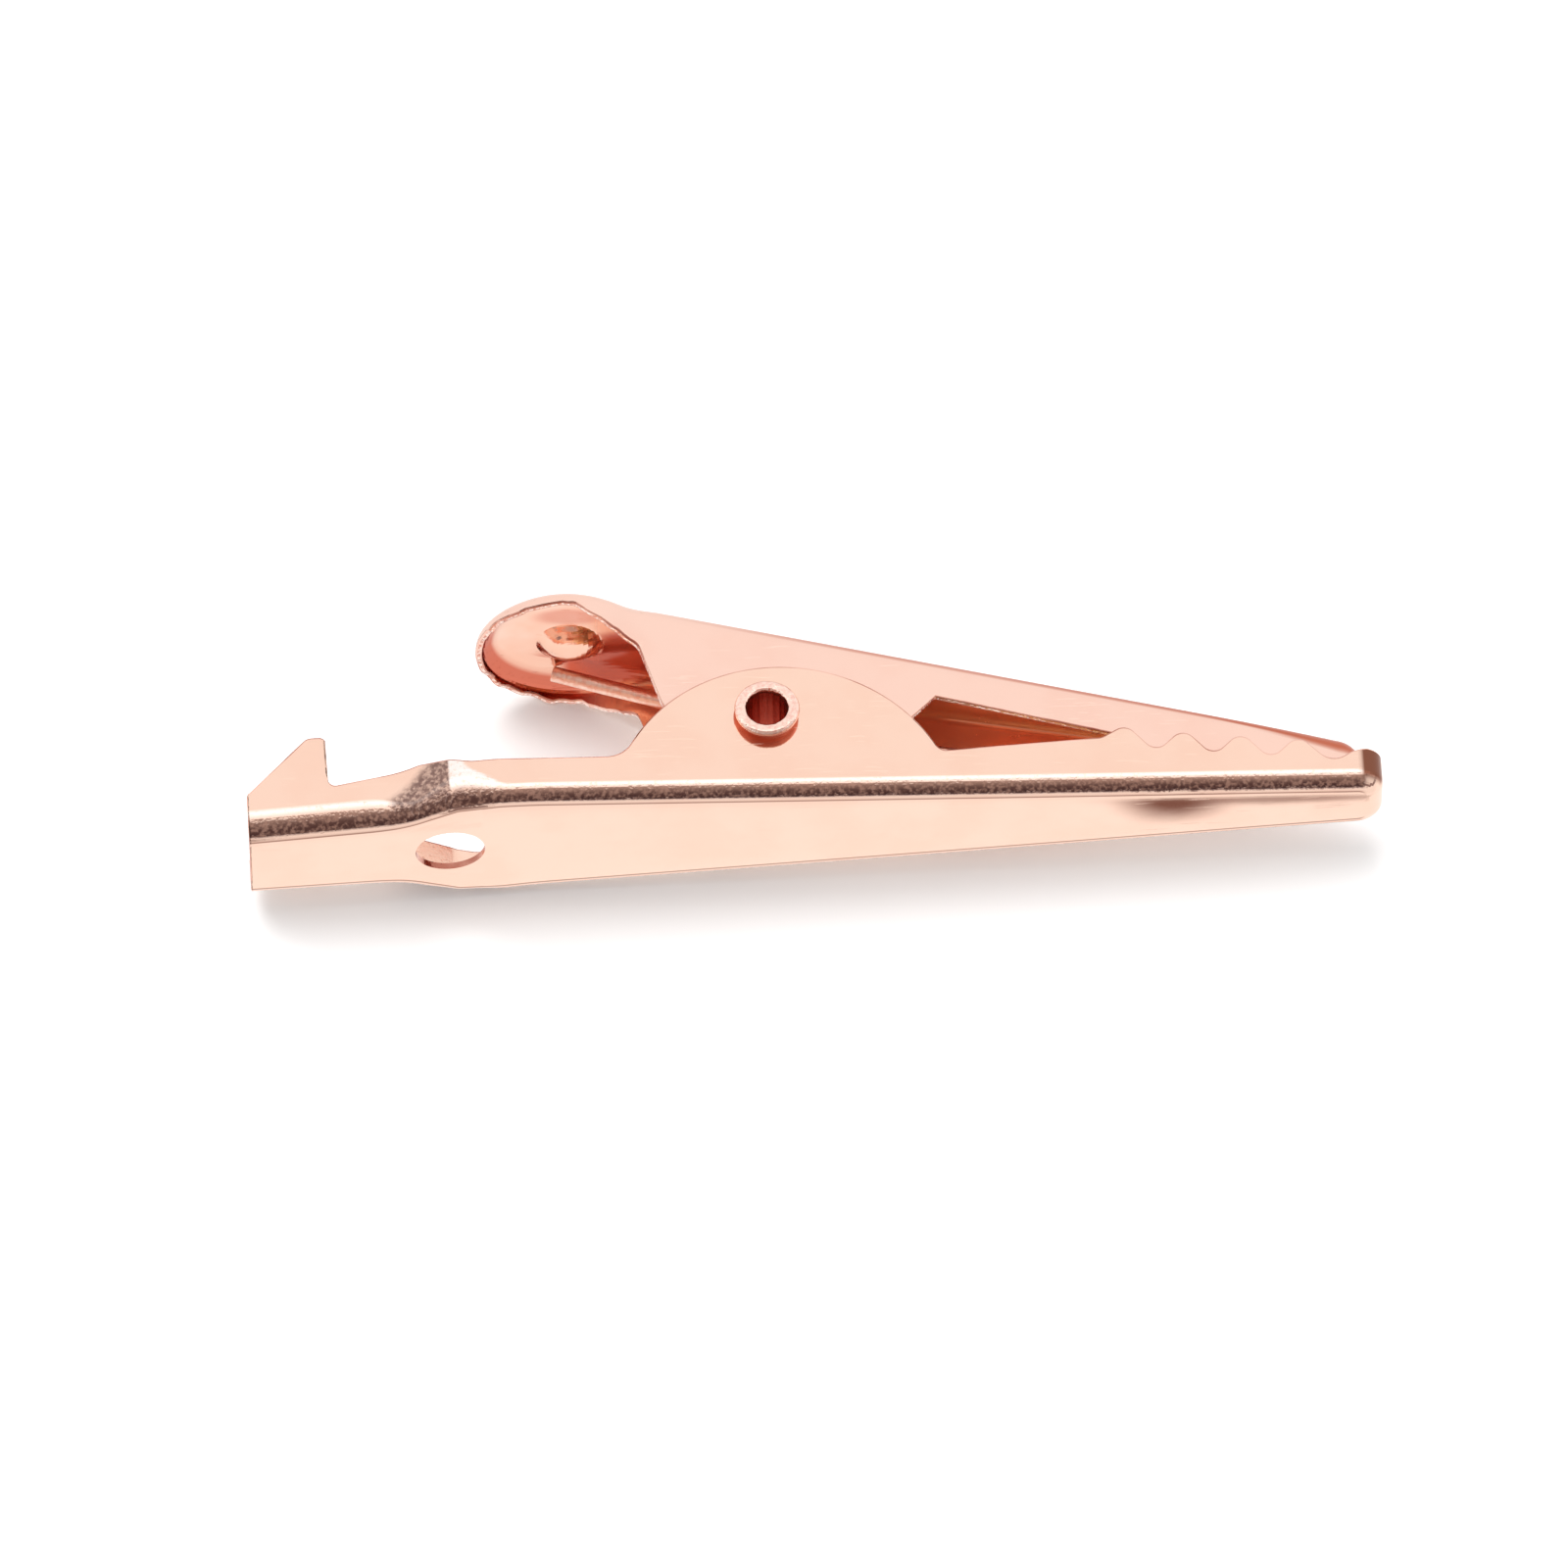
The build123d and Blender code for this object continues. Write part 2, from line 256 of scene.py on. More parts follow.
# %% Sizes shared by both stampings
SHEET = 0.18                 # as thin as the rims look in the photo
SOLID_SHEET = 0.30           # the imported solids' sheet, which sets how far in the upper jaw lies
FOLD = 0.45
SIDE_GAP = 0.10
FLOOR_Y = -2.45
WIRE_HOLE_X = -8.54
WIRE_HOLE_RADIUS = 0.92
LOWER_RIVET_HOLE = 0.71
UPPER_RIVET_HOLE = 0.74
RIM_BEVEL = 0.05
RIM_FINISH = 2               # places in a jaw's row of finishes: the sheared edge
CORNER_FINISH = 3            # and its burnished corner
rivet_low, rivet_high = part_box("pivot_rivet")
PIVOT = (rivet_low + rivet_high) / 2
TO_FRAME = Matrix.Translation(PIVOT) @ Matrix.Scale(MM, 4)
print("rivet's middle in mm:", [round(c / MM, 3) for c in PIVOT])


# %% [markdown]
# Both outlines of a stamping, the one seen from above and the one of its edge seen from the
# side, are straight runs joined by arcs. A run is kept as a small record that gives the point
# and the outward direction anywhere along it, so that folded walls turn corners exactly.

# %% Runs and arcs
def line_run(start, end):
    return {"start": Vector(start), "end": Vector(end), "radius": 0}


def arc_run(centre, radius, first, sweep):
    return {"centre": Vector(centre), "radius": radius, "first": first, "sweep": sweep}


def at(run, t):
    """The point at share t of a run, and the direction to the left of travel there."""
    if not run["radius"]:
        ahead = (run["end"] - run["start"]).normalized()
        return run["start"].lerp(run["end"], t), Vector((-ahead.y, ahead.x))
    angle = run["first"] + run["sweep"] * t
    out = Vector((cos(angle), sin(angle)))
    return run["centre"] + out * run["radius"], out if run["sweep"] < 0 else -out


def tangent_runs(corners):
    """Straight runs between (x, y, radius) corners, with a tangent arc at each corner."""
    runs = []
    last = Vector(corners[0][:2])
    for (ax, ay, _), (bx, by, radius), (cx, cy, _) in zip(corners, corners[1:], corners[2:]):
        corner = Vector((bx, by))
        before = (Vector((ax, ay)) - corner).normalized()
        after = (Vector((cx, cy)) - corner).normalized()
        half = (pi - before.angle(after)) / 2
        start = corner + before * radius * tan(half)
        if (start - last).length > 1e-4:
            runs.append(line_run(last, start))
        last = corner + after * radius * tan(half)
        if radius:
            centre = corner + (before + after).normalized() * radius / cos(half)
            spoke = start - centre
            left = before.x * after.y - before.y * after.x > 0
            sweep = -2 * half if left else 2 * half
            runs.append(arc_run(centre, radius, atan2(spoke.y, spoke.x), sweep))
    runs.append(line_run(last, corners[-1][:2]))
    return runs


def edge_points(corners, step=radians(10)):
    """The corners and arcs of an edge as a row of points."""
    points = [Vector(corners[0][:2])]
    for run in tangent_runs(corners):
        count = max(2, ceil(abs(run["sweep"]) / step)) if run["radius"] else 1
        points += [at(run, k / count)[0] for k in range(1, count + 1)]
    return points


def height_at(points, x):
    """Height of an edge at x, along a row of points that runs from left to right."""
    for a, b in zip(points, points[1:]):
        if x <= b.x:
            share = (x - a.x) / (b.x - a.x) if b.x > a.x else 1
            return a.y + (b.y - a.y) * max(share, 0)
    return points[-1].y


def stations(runs, edge_xs, gap=0.22, turn=radians(7)):
    """Places along the outline for the columns of the mesh: even ones, and one at every x
    where the trimmed edge turns."""
    found = []
    for run in runs:
        shares = set()
        if run["radius"]:
            count = max(2, ceil(abs(run["sweep"]) / turn))
            for x in edge_xs:
                share = (x - run["centre"].x) / run["radius"]
                if abs(share) < 1:
                    for angle in (acos(share), -acos(share)):
                        off = (angle - run["first"]) / run["sweep"]
                        shares.add(round(off, 6))
        else:
            length = run["end"] - run["start"]
            count = max(1, ceil(length.length / gap))
            if abs(length.x) > 1e-6:
                shares |= {round((x - run["start"].x) / length.x, 6) for x in edge_xs}
        shares |= {k / count for k in range(count)}
        inside = sorted(share for share in shares if 0 <= share < 1)
        for share in inside:
            point, out = at(run, share)
            if not found or (point - found[-1][0]).length > 0.012:
                found.append((point, out))
    found.append(at(runs[-1], 1))
    return found


# %% [markdown]
# A stamping starts as a flat blank: a grid with one column for every place along its outline
# and one row for every line across the fold. Folding it is a transform that a window-less
# Blender has no operator for, so each vertex is moved to where the press puts it: down the
# wall, round the fold, and in across the floor to the middle line. The two halves of the
# outline then meet there and are merged. Only the outside skin is folded; Solidify gives it the
# thickness of the sheet afterwards, inwards.

# %% Fold a blank
def mound(x, middle, width):
    """A smooth hump of height 1."""
    return max(0, 1 - ((x - middle) / width) ** 2) ** 2


def ramp(value, low, high):
    """0 below low, 1 above high, and a smooth step between; low may be the larger one."""
    share = min(max((value - low) / (high - low), 0), 1)
    return share * share * (3 - 2 * share)


def whole_outline(half):
    """The near half of the outline, and its mirror image back along the far side."""
    far = [(Vector((p.x, -p.y)), Vector((n.x, -n.y))) for p, n in reversed(half[:-1])]
    return half + far


def folded_blank(name, half, rim_y, skin_y, side, middle, fold_at, rows, wall_marks, fold_marks,
                 floor_marks=lambda plan: (0, 0, 0)):
    """Folds a grid into a channel. half is the near side's places from end to nose. rim_y gives
    the trimmed edge's height, skin_y the height of the floor or roof, and side is -1 where the
    walls rise from a floor and +1 where they hang from a roof. The marks tell how stretched the
    sheet is, which on the outside also places a painted dark reflection; where a painted highlight
    goes; where painted shade and painted dark reflections go; and how deep in the channel a painted
    tint goes: on the wall at a share of its height above the fold, in the fold at an angle, and on
    the floor or roof at a place."""
    places = whole_outline(half)
    wall_rows, fold_rows, floor_rows = rows
    row_count = wall_rows + fold_rows + floor_rows + 1
    bpy.ops.object.select_all(action="DESELECT")
    bpy.ops.mesh.primitive_grid_add(
        x_subdivisions=len(places) - 1, y_subdivisions=row_count - 1, size=2)
    blank = bpy.context.object
    blank.name = name
    marks, spots = [], []
    for vertex in blank.data.vertices:
        column = round((vertex.co.x + 1) / 2 * (len(places) - 1))
        row = round((1 - vertex.co.y) / 2 * (row_count - 1))
        point, out = places[column]
        reach, drop = fold_at(point)
        twin = Vector((point.x - out.x * fold_at(Vector((point.x, abs(point.y))))[0], 0))
        if row <= wall_rows:
            top = rim_y(point)
            foot = skin_y(point.x, point.y) - side * drop
            height = max(abs(top - foot), 0.2)
            first, last = 0.075 / height, 1 - 0.05 / height
            share = first + (last - first) * (row - 1) / (wall_rows - 2)
            share = {0: 0, wall_rows: 1}.get(row, share)
            spots.append(Vector((point.x, top + (foot - top) * share, point.y)))
            marks.append(wall_marks(point, out, 1 - share))
        elif row <= wall_rows + fold_rows:
            turned = (row - wall_rows) / fold_rows * pi / 2
            angle = degrees(turned)
            plan = point - out * reach * (1 - cos(turned))
            spots.append(Vector((
                plan.x, skin_y(plan.x, plan.y) - side * drop * (1 - sin(turned)), plan.y)))
            marks.append(fold_marks(point, out, angle))
        else:
            share = (row - wall_rows - fold_rows - 1) / (floor_rows - 1)
            inset = point - out * reach
            across = Vector((middle(twin.x), 0)) - inset
            near = min(0.035 / max(across.length, 0.035), 1)
            plan = inset + across * (near + (1 - near) * share)
            spots.append(Vector((plan.x, skin_y(plan.x, plan.y), plan.y)))
            marks.append(floor_marks(plan))
    for vertex, spot in zip(blank.data.vertices, spots):
        vertex.co = spot
    # The four marks become attributes. Besides the grain, stretched sets where the outside's
    # painted dark reflection lies; the second is a painted highlight; dark is painted shade and
    # painted dark reflection; deep sets the painted tint deep in the channel.
    for column, title in enumerate(("stretched", "painted_highlight", "dark", "deep")):
        mark = blank.data.attributes.new(title, "FLOAT", "POINT")
        mark.data.foreach_set("value", [(*found, 0)[column] for found in marks])
    bpy.ops.object.mode_set(mode="EDIT")
    bpy.ops.mesh.select_all(action="SELECT")
    bpy.ops.mesh.remove_doubles(threshold=0.004)
    bpy.ops.mesh.dissolve_degenerate(threshold=0.002)
    bpy.ops.object.mode_set(mode="OBJECT")
    return blank


def face_outwards(piece, probe, wanted):
    """Turns the skin's faces the right way: the one nearest to probe must look along wanted."""
    nearest = min(piece.data.polygons, key=lambda face: (face.center - Vector(probe)).length)
    bpy.ops.object.mode_set(mode="EDIT")
    bpy.ops.mesh.select_all(action="SELECT")
    if nearest.normal.dot(Vector(wanted)) < 0:
        bpy.ops.mesh.flip_normals()
    bpy.ops.object.mode_set(mode="OBJECT")


def use_modifier(piece, kind, **settings):
    """Adds a modifier, sets it and applies it."""
    bpy.context.view_layer.objects.active = piece
    made = piece.modifiers.new(kind.lower(), kind)
    for name, value in settings.items():
        setattr(made, name, value)
    bpy.ops.object.modifier_apply(modifier=made.name)


def punch(piece, place, axis, radius):
    """Cuts a round hole right through, with a cylinder that is thrown away afterwards."""
    turn = {"Y": (pi / 2, 0, 0), "Z": (0, 0, 0)}[axis]
    bpy.ops.object.select_all(action="DESELECT")
    bpy.ops.mesh.primitive_cylinder_add(
        vertices=72, radius=radius, depth=2 if axis == "Y" else 12, location=place, rotation=turn)
    tool = bpy.context.object
    tool.data.materials.append(piece.data.materials[CORNER_FINISH])
    use_modifier(piece, "BOOLEAN", operation="DIFFERENCE", object=tool, solver="EXACT")
    bpy.data.objects.remove(tool)


def merge_slivers(piece):
    """A cut through a curved skin leaves a few edges of almost no length, which are merged."""
    bpy.context.view_layer.objects.active = piece
    bpy.ops.object.mode_set(mode="EDIT")
    bpy.ops.mesh.select_all(action="SELECT")
    bpy.ops.mesh.remove_doubles(threshold=0.006)
    bpy.ops.object.mode_set(mode="OBJECT")


def weigh_edges(piece, wire_hole_x=None):
    """Every sharp edge of a cut rim gets a bevel weight, except those of the punched holes. A
    hole's edge is made of tiny faces that a bevel would tear, so it is only marked sharp. Sharp
    edges elsewhere are crumbs of the folding, which a bevel would draw out into spikes."""
    mesh = bmesh.new()
    mesh.from_mesh(piece.data)
    weight = mesh.edges.layers.float.new("bevel_weight_edge")
    for edge in mesh.edges:
        if len(edge.link_faces) != 2 or edge.calc_face_angle() < radians(50):
            continue
        if max(face.material_index for face in edge.link_faces) < RIM_FINISH:
            continue
        middle = (edge.verts[0].co + edge.verts[1].co) / 2
        in_hole = hypot(middle.x, middle.y) < 0.9
        if wire_hole_x is not None:
            in_hole = in_hole or hypot(middle.x - wire_hole_x, middle.z) < 0.96
        edge[weight] = 0.0 if in_hole else 1.0
        edge.smooth = not in_hole
    mesh.to_mesh(piece.data)
    mesh.free()


def into_frame(piece, body, *nodes):
    """Moves a finished piece's mesh to its place in metres, and hands it to its body."""
    piece.data.transform(TO_FRAME)
    piece.data.update()
    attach(piece, body)
    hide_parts(*nodes)
    print(piece.name, len(piece.data.vertices), "vertices", len(piece.data.polygons), "faces")


# %% [markdown]
# The lower jaw is the long stamping that everything else hangs on. Its outside follows the packed
# solid's, apart from the barbs, the neck and the nose, which were fitted to the photo again. At the
# neck the skin lies 0.114 mm from the solid's, which is the most. The sheet itself is thinner.

# %% Lower jaw sizes
TAIL_LENGTH = 13.85
NOSE_LENGTH = 16.15
SHOULDER_X = -7.65
TAPER = (5.0 - 2.2) / 2 / (NOSE_LENGTH - SHOULDER_X)
DROOP_START = -6.3
DROOP = radians(2.2)
DROOP_REACH = 20 * tan(DROOP / 2)
EAR_RADIUS = 4.58
EAR_X = 0.30
EAR_Y = 3.91 - EAR_RADIUS
TOOTH_FIRST = 9.42
TOOTH_PITCH = 1.51


def half_width(x):
    return 2.5 - TAPER * (x - SHOULDER_X)


def droop(x):
    """How far the tail's floor dips below the straight line at x."""
    start = DROOP_START + DROOP_REACH
    if x >= start:
        return 0
    if x <= DROOP_START - DROOP_REACH:
        return (DROOP_START - x) * tan(DROOP)
    return (start - x) ** 2 / (4 * DROOP_REACH) * tan(DROOP)


def crown(x, z):
    """The pressed floor isn't dead flat: it lifts a hair towards the folds, more at the nose."""
    edge = half_width(x) - FOLD if x > SHOULDER_X else 1.3
    near_nose = min(max((x - 8.0) / 5.0, 0), 1)
    power = 9 - 6.2 * near_nose
    return (0.014 + 0.012 * near_nose) * min(abs(z) / edge, 1) ** power


def lower_floor(x, z):
    return FLOOR_Y - droop(x) + crown(x, z)


def wave(first_y, fall, flank):
    """Corners of the wavy teeth, first crest to last, each rounded."""
    corners = []
    for tooth in range(4):
        crest = tooth * TOOTH_PITCH
        corners.append((TOOTH_FIRST + crest, first_y - fall * crest + flank / 2, 0.34))
        if tooth < 3:
            valley = crest + TOOTH_PITCH / 2
            corners.append((TOOTH_FIRST + valley, first_y - fall * valley - flank / 2, 0.34))
    return corners


def ear_arc():
    """The round ear, blended into the waist behind it and the window in front of it."""
    points = []
    for sign, blend, level in ((-1, 0.8, 1.232), (1, 0.30, 1.265)):
        centre_y = level + blend
        off = sqrt((EAR_RADIUS + blend) ** 2 - (centre_y - EAR_Y) ** 2)
        centre = Vector((EAR_X + sign * off, centre_y))
        touch = Vector((EAR_X, EAR_Y)).lerp(centre, EAR_RADIUS / (EAR_RADIUS + blend))
        last = atan2(touch.y - centre.y, touch.x - centre.x)
        if last > 0:
            last -= 2 * pi
        arc = [centre + Vector((cos(a), sin(a))) * blend
               for a in (-pi / 2 + (last + pi / 2) * k / 7 for k in range(8))]
        points.append(arc)
    start, end = points[0][-1], points[1][-1]
    first = atan2(start.y - EAR_Y, start.x - EAR_X)
    final = atan2(end.y - EAR_Y, end.x - EAR_X)
    top = [Vector((EAR_X + EAR_RADIUS * cos(a), EAR_Y + EAR_RADIUS * sin(a)))
           for a in (first + (final - first) * k / 48 for k in range(1, 48))]
    return points[0] + top + points[1][::-1]


def lower_edge():
    """The walls' trimmed edge from tail to nose, as heights above the floor's outside."""
    back = edge_points([
        (-TAIL_LENGTH, 0, 0), (-TAIL_LENGTH, 0.90, 0.15), (-12.20, 2.55, 0.30),
        (-11.70, 2.55, 0.18), (-11.68, 1.02, 0.20), (-9.3, 1.41, 0.4), (-8.55, 1.34, 0.4),
        (-7.9, 1.215, 0.5), (-5.2, 1.222, 0)])[1:]
    teeth = wave(1.57, 0.091, 0.80)
    front = edge_points(
        [(5.2, 1.307, 0), (8.75, 1.57, 0.4)] + teeth
        + [(14.80, 0.69, 0.50), (15.36, 1.03, 0.5), (15.75, 1.14, 0.15), (NOSE_LENGTH, 1.14, 0)])
    return back + ear_arc() + front


lower_rim = lower_edge()
lower_runs = tangent_runs([
    (-TAIL_LENGTH, 1.7, 0), (-9.75, 1.8, 2.0), (-8.42, 2.39, 0.70), (-7.2, half_width(-7.2), 2.5),
    (NOSE_LENGTH, 1.1, 0.70), (NOSE_LENGTH, 0, 0)])
neck_places = [-10.4 + 0.08 * k for k in range(36)]
lower_half = stations(lower_runs, [p.x for p in lower_rim] + neck_places)
print("lower jaw:", len(lower_half), "places along each side")

# %% [markdown]
# The lower jaw carries most of the clip's character: barbs that are squeezed over a wire, a
# neck, round ears, a window, wavy teeth and a closed nose. All of them are only the trimmed edge
# of the two walls, so one row of heights makes them. The wire hole and the rivet's hole are
# punched after the sheet has its thickness, as a press would.

# %% Lower jaw
def lower_rim_y(point):
    return FLOOR_Y + height_at(lower_rim, point.x)


def lower_fold(point):
    """The fold's reach and height. It is rounder on the tail, and swells at the neck."""
    tail = ramp(point.x, -9.2, -10.7)
    return FOLD + 0.08 * tail, FOLD + 0.25 * tail + 0.45 * mound(point.x, -8.2, 1.3)


def lower_marks(point, out, rise):
    """Across the neck, right up to where the body begins, the sheet is stretched and takes a
    painted dark reflection, and beyond it lies a painted highlight. The nose's upright corners are
    darkened with a painted dark reflection."""
    left = -10.3 + 1.1 * rise
    neck = 0.9 * ramp(point.x, left, left + 0.45) * ramp(point.x, -8.46, -8.53)
    bright = -8.03 + 0.12 * (1 - rise) + 0.7 * (1 - rise) ** 4
    painted_highlight = ramp(point.x, -8.53, -8.46) * ramp(point.x, bright, bright - 0.2)
    corner = ramp(out.x, 0.15, 0.22) * ramp(out.x, 0.99, 0.95) if point.x > 14 else 0
    return neck, painted_highlight, corner


def lower_fold_marks(point, out, angle):
    """From the wall round to the floor: a painted highlight, then open grain under a painted dark
    reflection, then one thin line of painted dark reflection.
    """
    neck, painted_highlight, corner = lower_marks(point, out, 0)
    side = ramp(out.x, 0.55, 0.15)
    # This mark gives the open grain and also where the painted dark reflection darkens the fold.
    grain = max(ramp(angle, 4, 52), neck) * ramp(angle, 76, 66) * side
    bright = (1 - neck) * max(ramp(angle, 19, 9), painted_highlight * ramp(angle, 30, 15))
    line = 0.9 * ramp(angle, 81, 87) * ramp(out.x, 0.95, 0.3)
    return grain, bright, max(corner * ramp(angle, 40, 15), line)


def make_lower_jaw(materials):
    last = NOSE_LENGTH - FOLD - 0.30
    jaw = folded_blank(
        "lower_jaw_stamping", lower_half, lower_rim_y, lower_floor, -1,
        lambda x: min(x, last), lower_fold, (9, 12, 10),
        lower_marks, lower_fold_marks)
    for material in materials:
        jaw.data.materials.append(material)
    face_outwards(jaw, (3, FLOOR_Y, 0), (0, -1, 0))
    use_modifier(jaw, "SOLIDIFY", thickness=SHEET, offset=-1, use_even_offset=True,
                 material_offset=1, material_offset_rim=RIM_FINISH)
    punch(jaw, (WIRE_HOLE_X, FLOOR_Y, 0), "Y", WIRE_HOLE_RADIUS)
    punch(jaw, (0, 0, 0), "Z", LOWER_RIVET_HOLE)
    merge_slivers(jaw)
    weigh_edges(jaw, WIRE_HOLE_X)
    use_modifier(jaw, "BEVEL", width=RIM_BEVEL, segments=3, limit_method="WEIGHT",
                 use_clamp_overlap=False, harden_normals=True, material=CORNER_FINISH)
    bpy.ops.object.shade_smooth()
    into_frame(jaw, "lower_jaw_body", "lower_jaw")
    return jaw


# %% [markdown]
# The upper jaw is folded in the same way, but its walls hang from a sloping roof, and the roof
# runs out into a flat lever that ends in a round thumb cup with a pressed dimple. The cup's fold
# is softer than the jaw's and its rim is uneven, which is what makes the cup look stamped.

# %% Upper jaw sizes
ROOF_HEIGHT = 2.965
ROOF_SLOPE = tan(radians(13.4))
LEVER_TOP = 4.03
LEVER_SWEEP = 12.0
UPPER_NOSE = NOSE_LENGTH - 0.42
CUP_X = -5.10
CUP_RADIUS = 2.50
CUP_RIM = 3.45
CUP_FOLD = 0.85              # how far in the cup's soft edge reaches before it is flat
DIMPLE_X = -5.08
DIMPLE_Z = -0.15
DIMPLE_RADIUS = 0.88
DIMPLE_DEPTH = 0.33


def roof(x, z):
    """The sloping roof that bends into the flat lever, with the pressed dimple in the cup."""
    bend_x = (ROOF_HEIGHT - LEVER_TOP) / ROOF_SLOPE
    reach = LEVER_SWEEP * tan(radians(13.4) / 2)
    if x <= bend_x - reach:
        y = LEVER_TOP
    elif x >= bend_x + reach:
        y = ROOF_HEIGHT - ROOF_SLOPE * x
    else:
        y = LEVER_TOP - (x - bend_x + reach) ** 2 / (4 * reach) * ROOF_SLOPE
    away = hypot(x - DIMPLE_X, z - DIMPLE_Z)
    dent = max(0, 1 - (away / DIMPLE_RADIUS) ** 2)
    return y - DIMPLE_DEPTH * dent * dent * (3 - 2 * dent)


def upper_edge():
    """The upper jaw's trimmed edge from the cup to the nose, as heights above the rivet."""
    first = ROOF_HEIGHT - ROOF_SLOPE * TOOTH_FIRST - 1.65
    return edge_points([
        (-9, CUP_RIM, 0), (-5.0, CUP_RIM, 0.8), (-3.32, 2.42, 0.4), (-2.77, 0.54, 0.8),
        (-1.58, -1.08, 0.8), (-0.52, -1.75, 0.8), (1.05, -1.75, 0.8), (2.60, -1.10, 0.4),
        (4.45, 0.70, 0.06)] + wave(first, 0.17, 0.60) + [
        (UPPER_NOSE - 0.70, -2.05, 0.15), (UPPER_NOSE + 1, -2.05, 0)])


def upper_outline():
    """Near half of the upper jaw from above: the cup's arc, a hollow blend, the lever, the nose."""
    inset = SOLID_SHEET + SIDE_GAP
    blend = 1.2
    x = -3.0
    for _ in range(30):
        y = half_width(x) - inset + blend / cos(atan(TAPER))
        x = CUP_X + sqrt((CUP_RADIUS + blend) ** 2 - y ** 2)
    centre = Vector((x, y))
    meet = atan2(y, x - CUP_X)
    cup = arc_run((CUP_X, 0), CUP_RADIUS, pi, meet - pi)
    hollow = arc_run(centre, blend, meet - pi, -pi / 2 - atan(TAPER) - (meet - pi))
    lever_start = at(hollow, 1)[0]
    nose_half = half_width(UPPER_NOSE) - inset
    return [cup, hollow] + tangent_runs([
        (*lever_start, 0), (UPPER_NOSE, nose_half, 0.70), (UPPER_NOSE, 0, 0)])


upper_rim = upper_edge()
upper_half = stations(upper_outline(), [p.x for p in upper_rim if p.x > -5.1], turn=radians(4))
print("upper jaw:", len(upper_half), "places along each side")


def cup_share(x):
    """0 on the lever, 1 in the cup, with a smooth step between."""
    share = min(max((-2.6 - x) / 1.6, 0), 1)
    return share * share * (3 - 2 * share)


def upper_rim_y(point):
    """The cup's rim was sheared off in a blunt tool, so it waves a little."""
    y = height_at(upper_rim, point.x)
    spot = Vector((point.x * 2.2, point.y * 2.2, 3.1))
    fine = Vector((point.x * 7, point.y * 7, 8.4))
    far = max(0, -point.y / CUP_RADIUS)
    torn = 0.055 * noise.noise(spot) + 0.03 * noise.noise(fine)
    dip = 0.12 * far * mound(point.x, -5.3, 1.4)
    return y + cup_share(point.x) * (torn * (1 + 1.2 * far) - dip)


def upper_fold(point):
    """The fold's reach and height: soft in the cup, more so on its far side, and at the nose."""
    near_nose = min(max((point.x - 11.5) / 3.5, 0), 1) ** 2
    reach = CUP_FOLD + 0.65 * max(0, -point.y / CUP_RADIUS) - FOLD
    return (FOLD + reach * cup_share(point.x) + 0.10 * near_nose, FOLD + 0.30 * near_nose)


def cup_wall(point, out):
    """1 on the cup's end and far wall, where the inside is reddened with painted shade."""
    return ramp(out.y, 0.7, 0.1) * ramp(point.x, -4.2, -5.0)


def upper_fold_marks(point, out, angle):
    """The roof's long edge is a darker orange line of painted dark reflection that widens towards
    the nose. Inside, the cup's walls and the fold facing the coil get painted shade, and the
    channel the painted depth tint.
    """
    nose = ramp(point.x, 11, 15)
    line = ramp(angle, 22 - 12 * nose, 30 - 8 * nose) * ramp(point.x, -4, 3)
    stretched = line * (0.75 + 0.25 * ramp(point.x, 4, 13))
    wall = 0.85 * cup_wall(point, out) * ramp(angle, 66, 56)
    coil = ramp(point.x, -5.9, -5.0) * ramp(point.x, -2.2, -3.4) * ramp(out.y, -0.3, -0.8)
    return stretched, 0, max(wall, coil * ramp(angle, 20, 45)), ramp(point.x, -5.0, -3.8)


def upper_marks(point, out, rise):
    # On the walls, painted shade reddens the inside of the cup's end and far wall, and the painted
    # depth tint runs deeper into the channel.
    return 0, 0, 0.85 * cup_wall(point, out), ramp(point.x, -5.0, -3.8)


def cup_marks(plan):
    """Under the cup's roof a redder painted shade lies round the dimple, most of all where it
    faces the coil, but not in the dimple itself, which the painted depth tint mostly leaves out
    too."""
    above = ramp(hypot((plan.x + 5.1) / 0.95, (plan.y - 1.15) / 0.42), 1.2, 0.6)
    below = ramp(hypot((plan.x + 5.6) / 0.55, (plan.y + 0.95) / 0.40), 1.3, 0.4)
    edge = -4.4 + 0.9 * ramp(plan.y, 0.2, 0.8) - 1.1 * ramp(plan.y, 0.0, -0.9)
    outside = 1 - 0.85 * ramp(hypot(plan.x - DIMPLE_X, plan.y - DIMPLE_Z), 0.90, 0.80)
    coil = ramp(plan.x, edge - 0.3, edge + 0.5) * ramp(plan.x, -2.0, -3.2) * outside
    return 0, 0, max(0.45 * above, 0.5 * below, coil), ramp(plan.x, -5.0, -3.8) * outside


def make_upper_jaw(materials):
    last = UPPER_NOSE - FOLD - 0.45
    jaw = folded_blank(
        "upper_jaw_stamping", upper_half, upper_rim_y, roof, 1,
        lambda x: max(min(x, last), CUP_X),
        upper_fold, (9, 10, 28), upper_marks, upper_fold_marks,
        cup_marks)
    for material in materials:
        jaw.data.materials.append(material)
    face_outwards(jaw, (3, 2.3, 0), (0, 1, 0))
    use_modifier(jaw, "SOLIDIFY", thickness=SHEET, offset=-1, use_even_offset=True,
                 material_offset=1, material_offset_rim=RIM_FINISH)
    punch(jaw, (0, 0, 0), "Z", UPPER_RIVET_HOLE)
    weigh_edges(jaw)
    use_modifier(jaw, "BEVEL", width=RIM_BEVEL, segments=3, limit_method="WEIGHT",
                 use_clamp_overlap=False, harden_normals=True, material=CORNER_FINISH)
    bpy.ops.object.shade_smooth()
    into_frame(jaw, "upper_jaw_body", "upper_jaw")
    return jaw


# %% [markdown]
# The rivet is a short tube whose two ends are rolled outwards into raised rings. It is turned:
# a circle is extruded along the ring's section and closed on itself. A rolled ring is never
# quite true, so its top is dented a little, and the near ring leans.

